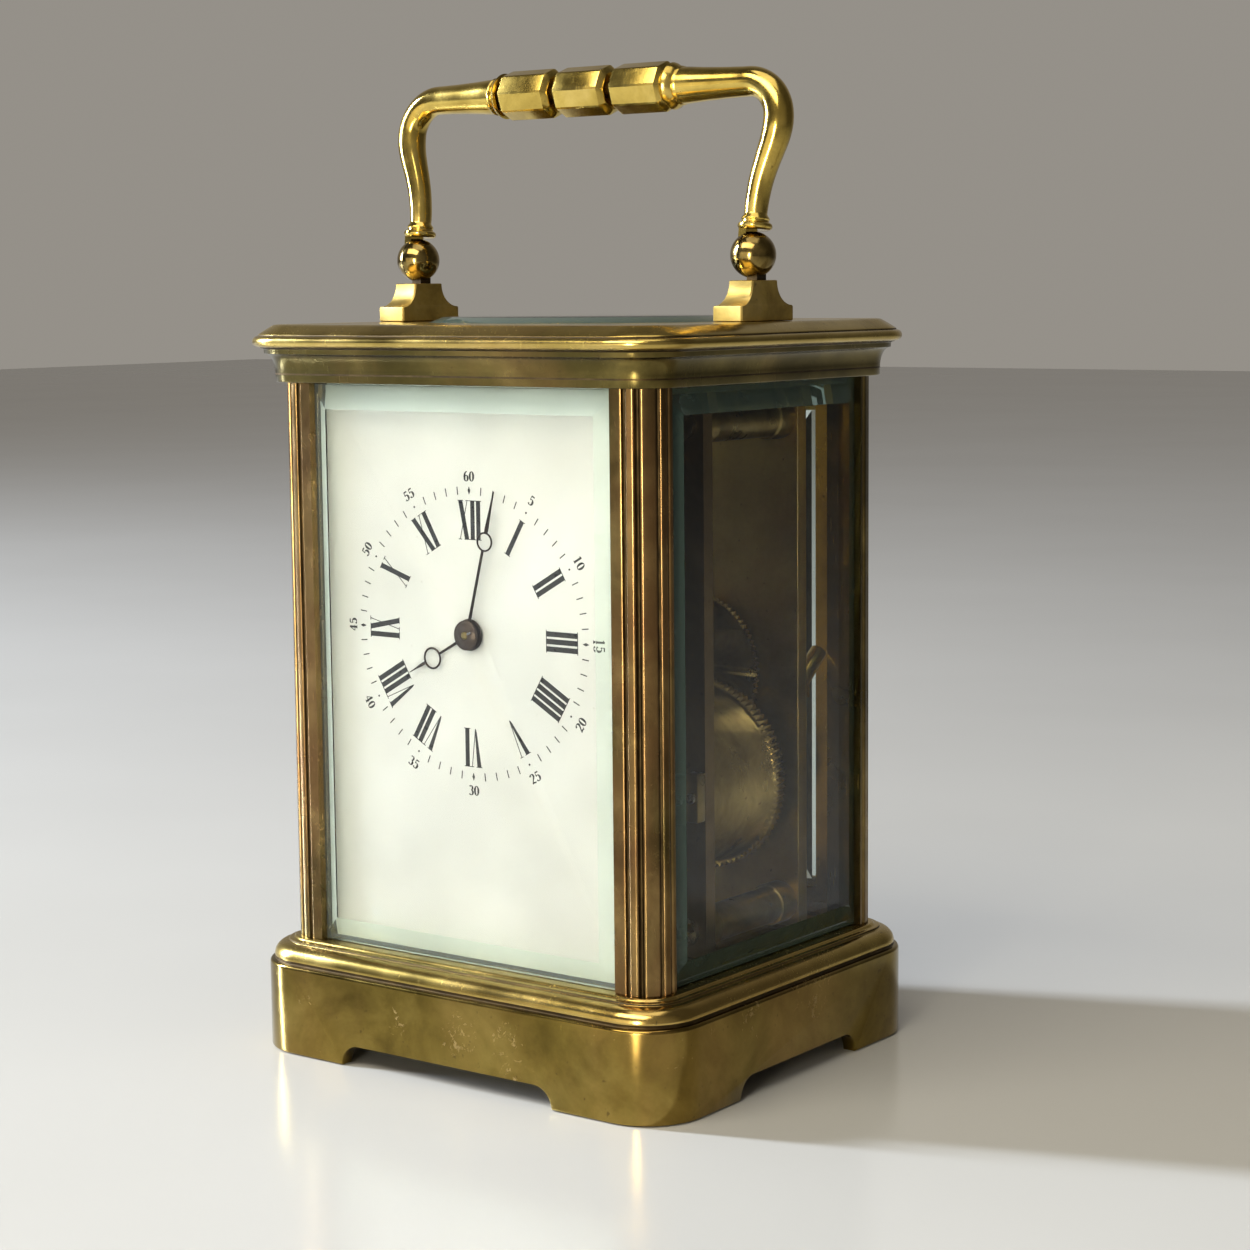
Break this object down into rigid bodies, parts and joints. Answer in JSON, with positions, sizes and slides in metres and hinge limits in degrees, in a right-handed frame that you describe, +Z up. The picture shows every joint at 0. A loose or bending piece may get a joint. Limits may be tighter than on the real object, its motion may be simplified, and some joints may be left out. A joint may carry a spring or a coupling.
{
  "type": "carriage clock",
  "caption": "Glazed brass carriage clock with reeded pillars, a swinging handle, a hinged rear door, a white dial with moon hands and a geared movement with a lever platform.",
  "frame": {"origin": "centre of the bounding box at the height of the feet", "axes": "+Z up, -Y is the dial side, +X is on the right seen from the front"},
  "size_m": [0.0836, 0.0732, 0.1558],
  "materials": {
    "case_brass": "lacquered brass, tarnished in patches",
    "handle_brass": "polished brass",
    "glass": "clear, greenish at the bevels",
    "enamel": "smooth white enamel",
    "hand_steel": "blackened",
    "plate_brass": "grained",
    "wheel_brass": "polished",
    "steel": "polished steel"
  },
  "bodies": {
    "case": {"back_plate": "plate_brass", "balance_cock": "plate_brass", "base_plinth": "case_brass", "case_screw_front_left": "steel", "case_screw_front_right": "steel", "case_screw_rear_left": "steel", "case_screw_rear_right": "steel", "click_spring": "steel", "dial_backplate": "plate_brass", "dial_plate": "enamel", "door_pin_bottom": "steel", "door_pin_top": "steel", "escape_bridge": "plate_brass", "front_glass": "glass", "front_plate": "plate_brass", "handle_pivot_left": "steel", "handle_pivot_right": "steel", "handle_post_left": "handle_brass", "handle_post_right": "handle_brass", "left_glass": "glass", "movement_pillar_1": "plate_brass", "movement_pillar_2": "plate_brass", "movement_pillar_3": "plate_brass", "movement_pillar_4": "plate_brass", "pillar_front_left": "case_brass", "pillar_front_right": "case_brass", "pillar_rear_left": "case_brass", "pillar_rear_right": "case_brass", "platform_plate": "plate_brass", "right_glass": "glass", "top_frame": "case_brass", "top_glass": "glass"},
    "handle": {"handle_bail": "handle_brass", "handle_grip_left": "handle_brass", "handle_grip_middle": "handle_brass", "handle_grip_right": "handle_brass"},
    "rear_door": {"rear_door_frame": "case_brass", "rear_door_glass": "glass", "door_knob": "handle_brass"},
    "minute_arbor": {"centre_wheel": "wheel_brass", "cannon_pinion": "steel", "minute_hand": "hand_steel", "hand_collet": "hand_steel"},
    "hour": {"hour_wheel": "wheel_brass", "hour_hand": "hand_steel"},
    "minute_wheel": {"minute_wheel": "wheel_brass"},
    "second_wheel": {"second_wheel": "wheel_brass"},
    "barrel": {"barrel": "wheel_brass", "barrel_cover": "wheel_brass", "mainspring": "steel"},
    "third_wheel": {"third_wheel": "wheel_brass"},
    "contrate_wheel": {"contrate_wheel": "wheel_brass"},
    "winding_arbor": {"barrel_arbor": "steel", "ratchet_wheel": "steel"},
    "click": {"click": "steel"},
    "escape_wheel": {"escape_wheel": "wheel_brass"},
    "pallet_lever": {"pallet_lever": "steel"},
    "balance": {"balance_wheel": "wheel_brass", "hairspring": "hand_steel"},
    "regulator": {"regulator": "steel"}
  },
  "joints": [
    {"name": "handle_swing", "type": "hinge", "parent": "case", "child": "handle", "pos_m": [0, 0, 0.126], "axis": [1, 0, 0], "range_deg": [-96, 110]},
    {"name": "door_swing", "type": "hinge", "parent": "case", "child": "rear_door", "pos_m": [-0.0274, 0.0295, 0.0184], "axis": [0, 0, 1], "range_deg": [0, 95]},
    {"name": "minute_turn", "type": "hinge", "parent": "case", "child": "minute_arbor", "pos_m": [0, 0, 0.069], "axis": [0, 1, 0], "continuous": true},
    {"name": "hour_turn", "type": "hinge", "parent": "case", "child": "hour", "pos_m": [0, 0, 0.069], "axis": [0, 1, 0], "continuous": true},
    {"name": "minute_wheel_turn", "type": "hinge", "parent": "case", "child": "minute_wheel", "pos_m": [-0.0059, 0, 0.06487], "axis": [0, 1, 0], "continuous": true},
    {"name": "second_wheel_turn", "type": "hinge", "parent": "case", "child": "second_wheel", "pos_m": [0.01019, 0, 0.05969], "axis": [0, 1, 0], "continuous": true},
    {"name": "barrel_turn", "type": "hinge", "parent": "case", "child": "barrel", "pos_m": [0.0132, 0, 0.0428], "axis": [0, 1, 0], "continuous": true},
    {"name": "third_wheel_turn", "type": "hinge", "parent": "case", "child": "third_wheel", "pos_m": [-0.00431, 0, 0.08084], "axis": [0, 1, 0], "continuous": true},
    {"name": "contrate_wheel_turn", "type": "hinge", "parent": "case", "child": "contrate_wheel", "pos_m": [-0.00185, 0, 0.09004], "axis": [0, 1, 0], "continuous": true},
    {"name": "winding", "type": "hinge", "parent": "case", "child": "winding_arbor", "pos_m": [0.0132, 0, 0.0428], "axis": [0, -1, 0], "range_deg": [0, 1350]},
    {"name": "click_lift", "type": "hinge", "parent": "case", "child": "click", "pos_m": [0.0038, 0, 0.0408], "axis": [0, 1, 0], "range_deg": [0, 12], "stiffness_Nm_per_rad": 0.002},
    {"name": "escape_wheel_turn", "type": "hinge", "parent": "case", "child": "escape_wheel", "pos_m": [-0.00185, 0.0022, 0.107], "axis": [0, 0, 1], "continuous": true},
    {"name": "lever_rock", "type": "hinge", "parent": "case", "child": "pallet_lever", "pos_m": [0.00215, 0.00426, 0.107], "axis": [0, 0, 1], "range_deg": [-5, 5]},
    {"name": "balance_swing", "type": "hinge", "parent": "case", "child": "balance", "pos_m": [0.0065, 0.0065, 0.11], "axis": [0, 0, 1], "range_deg": [-270, 270], "stiffness_Nm_per_rad": 0.000002},
    {"name": "regulator_turn", "type": "hinge", "parent": "case", "child": "regulator", "pos_m": [0.0065, 0.0065, 0.1125], "axis": [0, 0, 1], "range_deg": [-20, 20]}
  ],
  "couplings": [
    {"joint": "hour_turn", "follows": "minute_turn", "ratio": 0.083333},
    {"joint": "minute_wheel_turn", "follows": "minute_turn", "ratio": -0.33333},
    {"joint": "second_wheel_turn", "follows": "minute_turn", "ratio": -0.15},
    {"joint": "barrel_turn", "follows": "minute_turn", "ratio": 0.019565},
    {"joint": "third_wheel_turn", "follows": "minute_turn", "ratio": -8},
    {"joint": "contrate_wheel_turn", "follows": "minute_turn", "ratio": 60}
  ]
}
